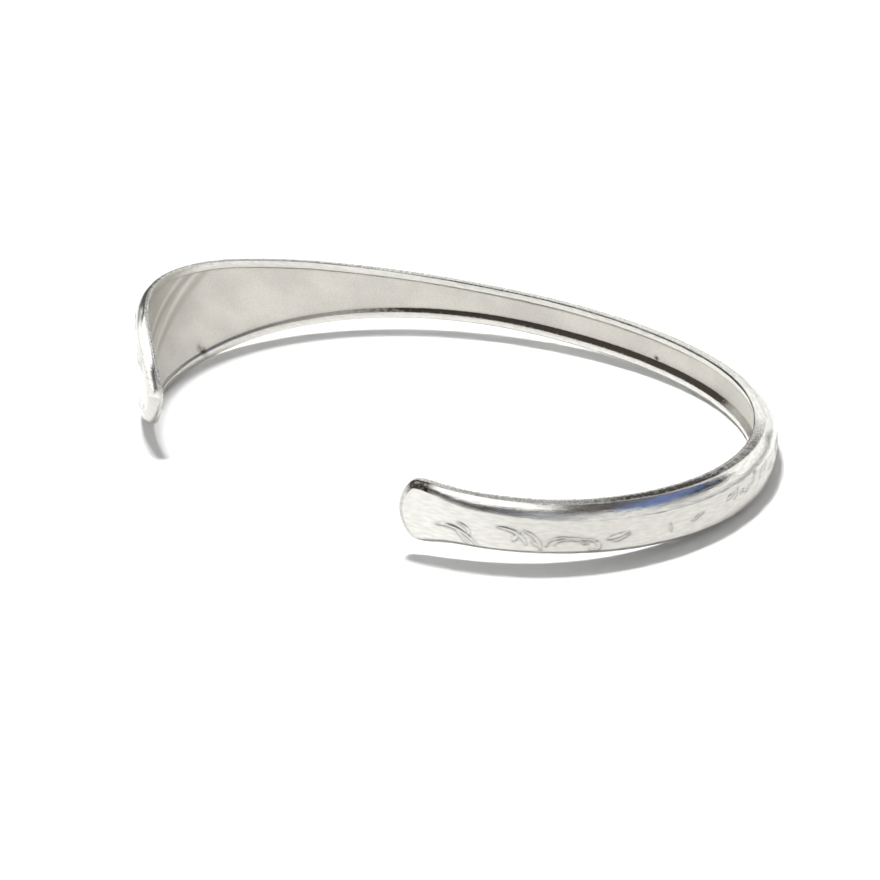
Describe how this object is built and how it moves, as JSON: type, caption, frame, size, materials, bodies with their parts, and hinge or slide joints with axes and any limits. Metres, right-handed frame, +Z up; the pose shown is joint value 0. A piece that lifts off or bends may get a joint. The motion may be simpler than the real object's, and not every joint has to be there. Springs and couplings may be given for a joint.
{
  "type": "spoon handle cuff bracelet",
  "caption": "Open oval cuff bracelet bent from a silver spoon handle, its wide end recessed inside and its narrow end rounded, with raised scrolls and leaves outside.",
  "frame": {"origin": "on the surface it lies on, under the middle of the whole bracelet", "axes": "+X along its longest side, with the wide end at -X and the narrow end at -Y, +Z up from the surface it lies on"},
  "size_m": [0.0626, 0.0586, 0.0125],
  "materials": {
    "silver": "polished silver, satin inside and lightly tarnished in the recesses"
  },
  "bodies": {
    "root": {"cuff_band": "silver"}
  },
  "joints": []
}
